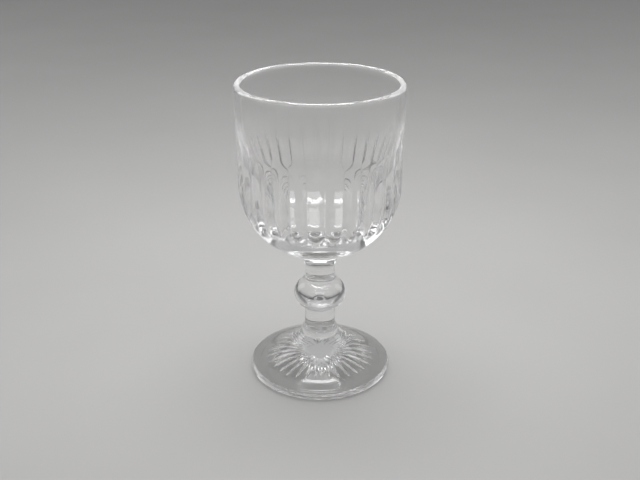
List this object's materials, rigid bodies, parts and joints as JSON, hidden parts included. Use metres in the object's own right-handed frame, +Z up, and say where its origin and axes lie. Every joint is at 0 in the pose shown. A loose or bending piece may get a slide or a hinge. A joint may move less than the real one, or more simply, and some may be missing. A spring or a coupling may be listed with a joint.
{
  "type": "wine glass",
  "caption": "Short-stemmed clear wine glass with a ribbed straight-sided bowl, a ball knop on the stem and a domed foot, for serving red wine.",
  "frame": {"origin": "on the table, on the glass's axis, at the level of the flat ring under the foot", "axes": "+Z up along the axis of the stem and bowl; -Y is the front, where a rib's middle lies"},
  "size_m": [0.0792, 0.0792, 0.15],
  "materials": {
    "clear_glass": "clear, fire-polished, with a very faint grey cast in thick edges"
  },
  "bodies": {
    "root": {"bowl": "clear_glass", "upper_stem": "clear_glass", "ball_knop": "clear_glass", "lower_stem": "clear_glass", "foot_collar": "clear_glass", "foot": "clear_glass"}
  },
  "joints": []
}
